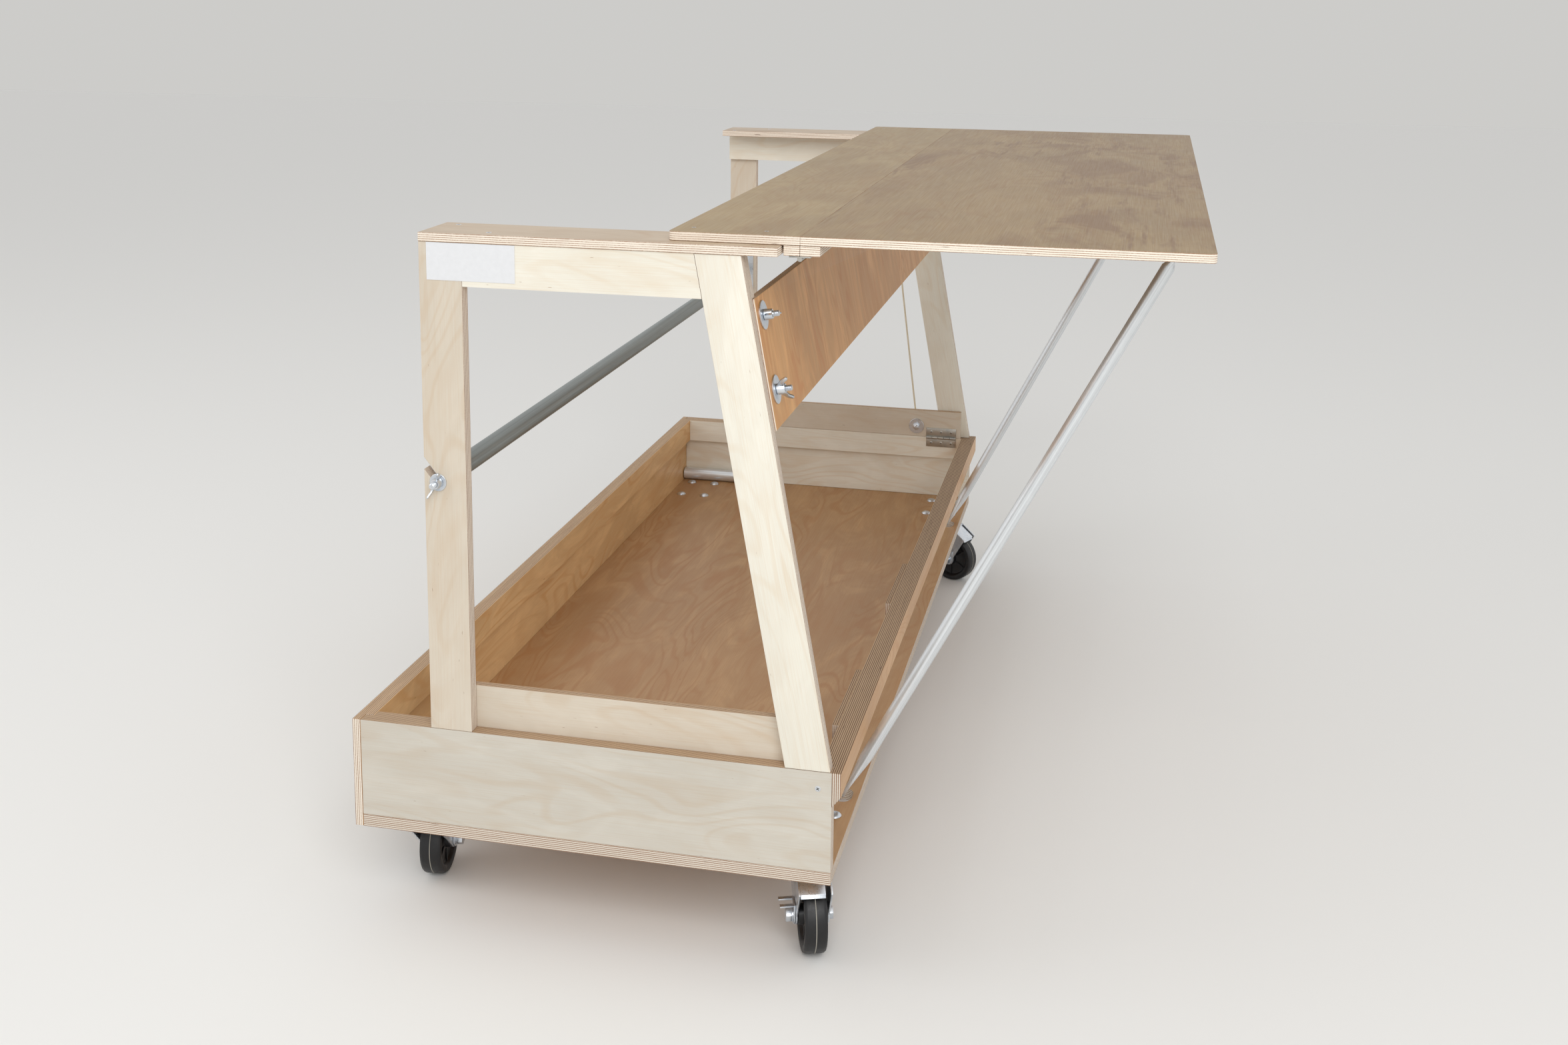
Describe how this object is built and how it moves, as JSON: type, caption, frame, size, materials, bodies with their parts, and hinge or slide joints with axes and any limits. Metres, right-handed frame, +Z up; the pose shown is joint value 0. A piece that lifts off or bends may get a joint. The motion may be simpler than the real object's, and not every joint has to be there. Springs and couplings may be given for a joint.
{
  "type": "wallpaper pasting table",
  "caption": "Folding plywood pasting table on a wheeled tray, with a hinged top leaf on tube struts, a slanted apron, a hanging bar in slotted legs and swivel casters.",
  "frame": {"origin": "centre of the bounding box on the floor under the wheels", "axes": "+Z up, +Y along the table's length from the near end to the far end, +X from the left wall to the outer leaf's edge"},
  "size_m": [1.13, 1.694, 0.995],
  "materials": {
    "birch_top": "clear satin birch plywood face",
    "panel_birch": "clear satin birch plywood face",
    "leg_birch": "clear satin birch plywood face",
    "slanted_leg_birch": "clear satin birch plywood face",
    "cap_birch": "clear satin birch plywood face",
    "apron_birch": "clear satin birch plywood face",
    "deck_ply": "satin plywood face",
    "wall_ply": "satin plywood face",
    "rail_ply": "satin plywood face and bevel",
    "batten_birch": "satin plywood strip",
    "zinc": "bright zinc plated steel",
    "hinge_steel": "plain steel hinge",
    "galvanised_bar": "dull galvanised tube",
    "galvanised_strut": "bright galvanised tube",
    "rubber": "black rubber wheel",
    "stay_steel": "pale coated rod"
  },
  "bodies": {
    "table": {"apron": "apron_birch", "apron_bolt_far_high": "zinc", "apron_bolt_far_low": "zinc", "apron_bolt_near_high": "zinc", "apron_bolt_near_low": "zinc", "base_hinge_far": "hinge_steel", "base_hinge_near": "hinge_steel", "batten_inner": "batten_birch", "batten_outer": "batten_birch", "cap_far": "cap_birch", "cap_near": "cap_birch", "caster_plate_left_far": "zinc", "caster_plate_left_near": "zinc", "caster_plate_right_far": "zinc", "caster_plate_right_near": "zinc", "deck": "deck_ply", "end_panel_far": "panel_birch", "end_panel_near": "panel_birch", "front_rail": "rail_ply", "leaf_hinge": "hinge_steel", "leaf_inner": "birch_top", "leaf_outer": "birch_top", "left_board": "wall_ply", "left_leg_far": "leg_birch", "left_leg_near": "leg_birch", "loose_tube": "galvanised_bar", "lower_rail_far": "leg_birch", "lower_rail_near": "leg_birch", "rail_bolt_left": "zinc", "rail_bolt_right": "zinc", "slanted_leg_far": "slanted_leg_birch", "slanted_leg_near": "slanted_leg_birch", "slot_plate_far": "zinc", "slot_plate_near": "zinc", "stay_rod": "stay_steel", "strut_bracket_far": "zinc", "strut_bracket_near": "zinc", "upper_rail_far": "leg_birch", "upper_rail_near": "leg_birch"},
    "fork_left_near": {"fork_left_near": "zinc"},
    "wheel_left_near": {"wheel_left_near": "rubber"},
    "brake_left_near": {"brake_left_near": "zinc"},
    "fork_right_near": {"fork_right_near": "zinc"},
    "wheel_right_near": {"wheel_right_near": "rubber"},
    "brake_right_near": {"brake_right_near": "zinc"},
    "fork_left_far": {"fork_left_far": "zinc"},
    "wheel_left_far": {"wheel_left_far": "rubber"},
    "brake_left_far": {"brake_left_far": "zinc"},
    "fork_right_far": {"fork_right_far": "zinc"},
    "wheel_right_far": {"wheel_right_far": "rubber"},
    "brake_right_far": {"brake_right_far": "zinc"},
    "wing_nut_near_low": {"wing_nut_near_low": "zinc"},
    "wing_nut_far_low": {"wing_nut_far_low": "zinc"},
    "wing_nut_near_high": {"wing_nut_near_high": "zinc"},
    "wing_nut_far_high": {"wing_nut_far_high": "zinc"},
    "bar": {"bar": "galvanised_bar"},
    "wing_nut_bar_near": {"wing_nut_bar_near": "zinc"},
    "wing_nut_bar_far": {"wing_nut_bar_far": "zinc"},
    "strut_near": {"strut_near": "galvanised_strut"},
    "strut_far": {"strut_far": "galvanised_strut"}
  },
  "joints": [
    {"name": "swivel_left_near", "type": "hinge", "parent": "table", "child": "fork_left_near", "pos_m": [-0.5, -0.72, 0.137], "axis": [0, 0, 1], "continuous": true},
    {"name": "wheel_spin_left_near", "type": "hinge", "parent": "fork_left_near", "child": "wheel_left_near", "pos_m": [-0.50476, -0.68432, 0.051], "axis": [-0.9912, -0.1323, 0], "continuous": true},
    {"name": "brake_rock_left_near", "type": "hinge", "parent": "fork_left_near", "child": "brake_left_near", "pos_m": [-0.50476, -0.68432, 0.051], "axis": [-0.9912, -0.1323, 0], "range_deg": [-8, 8]},
    {"name": "swivel_right_near", "type": "hinge", "parent": "table", "child": "fork_right_near", "pos_m": [0.062, -0.72, 0.137], "axis": [0, 0, 1], "continuous": true},
    {"name": "wheel_spin_right_near", "type": "hinge", "parent": "fork_right_near", "child": "wheel_right_near", "pos_m": [0.07402, -0.75394, 0.051], "axis": [0.9426, 0.3338, 0], "continuous": true},
    {"name": "brake_rock_right_near", "type": "hinge", "parent": "fork_right_near", "child": "brake_right_near", "pos_m": [0.07402, -0.75394, 0.051], "axis": [0.9426, 0.3338, 0], "range_deg": [-8, 8]},
    {"name": "swivel_left_far", "type": "hinge", "parent": "table", "child": "fork_left_far", "pos_m": [-0.5, 0.72, 0.137], "axis": [0, 0, 1], "continuous": true},
    {"name": "wheel_spin_left_far", "type": "hinge", "parent": "fork_left_far", "child": "wheel_left_far", "pos_m": [-0.49068, 0.75477, 0.051], "axis": [-0.9659, 0.2588, 0], "continuous": true},
    {"name": "brake_rock_left_far", "type": "hinge", "parent": "fork_left_far", "child": "brake_left_far", "pos_m": [-0.49068, 0.75477, 0.051], "axis": [-0.9659, 0.2588, 0], "range_deg": [-8, 8]},
    {"name": "swivel_right_far", "type": "hinge", "parent": "table", "child": "fork_right_far", "pos_m": [0.062, 0.72, 0.137], "axis": [0, 0, 1], "continuous": true},
    {"name": "wheel_spin_right_far", "type": "hinge", "parent": "fork_right_far", "child": "wheel_right_far", "pos_m": [0.09463, 0.70479, 0.051], "axis": [0.4226, 0.9063, 0], "continuous": true},
    {"name": "brake_rock_right_far", "type": "hinge", "parent": "fork_right_far", "child": "brake_right_far", "pos_m": [0.09463, 0.70479, 0.051], "axis": [0.4226, 0.9063, 0], "range_deg": [-8, 8]},
    {"name": "wing_nut_near_low_turn", "type": "hinge", "parent": "table", "child": "wing_nut_near_low", "pos_m": [0.02343, -0.778, 0.79], "axis": [0.9838, 0, 0.179], "continuous": true},
    {"name": "wing_nut_far_low_turn", "type": "hinge", "parent": "table", "child": "wing_nut_far_low", "pos_m": [0.02343, 0.778, 0.79], "axis": [0.9838, 0, 0.179], "continuous": true},
    {"name": "wing_nut_near_high_turn", "type": "hinge", "parent": "table", "child": "wing_nut_near_high", "pos_m": [0.00578, -0.778, 0.887], "axis": [0.9838, 0, 0.179], "continuous": true},
    {"name": "wing_nut_far_high_turn", "type": "hinge", "parent": "table", "child": "wing_nut_far_high", "pos_m": [0.00578, 0.778, 0.887], "axis": [0.9838, 0, 0.179], "continuous": true},
    {"name": "bar_lift", "type": "slide", "parent": "table", "child": "bar", "axis": [-0.6211, 0, 0.7837], "range_m": [0, 0.045]},
    {"name": "wing_nut_bar_near_turn", "type": "hinge", "parent": "bar", "child": "wing_nut_bar_near", "pos_m": [-0.427, -0.825, 0.6456], "axis": [0, -1, 0], "continuous": true},
    {"name": "wing_nut_bar_far_turn", "type": "hinge", "parent": "bar", "child": "wing_nut_bar_far", "pos_m": [-0.427, 0.825, 0.6456], "axis": [0, 1, 0], "continuous": true},
    {"name": "strut_near_swing", "type": "hinge", "parent": "table", "child": "strut_near", "pos_m": [0.5245, -0.614, 0.9695], "axis": [0.8821, 0, -0.4711], "range_deg": [0, 88]},
    {"name": "strut_far_swing", "type": "hinge", "parent": "table", "child": "strut_far", "pos_m": [0.5055, 0.613, 0.9695], "axis": [0.8906, 0, -0.4549], "range_deg": [-88, 0]}
  ]
}
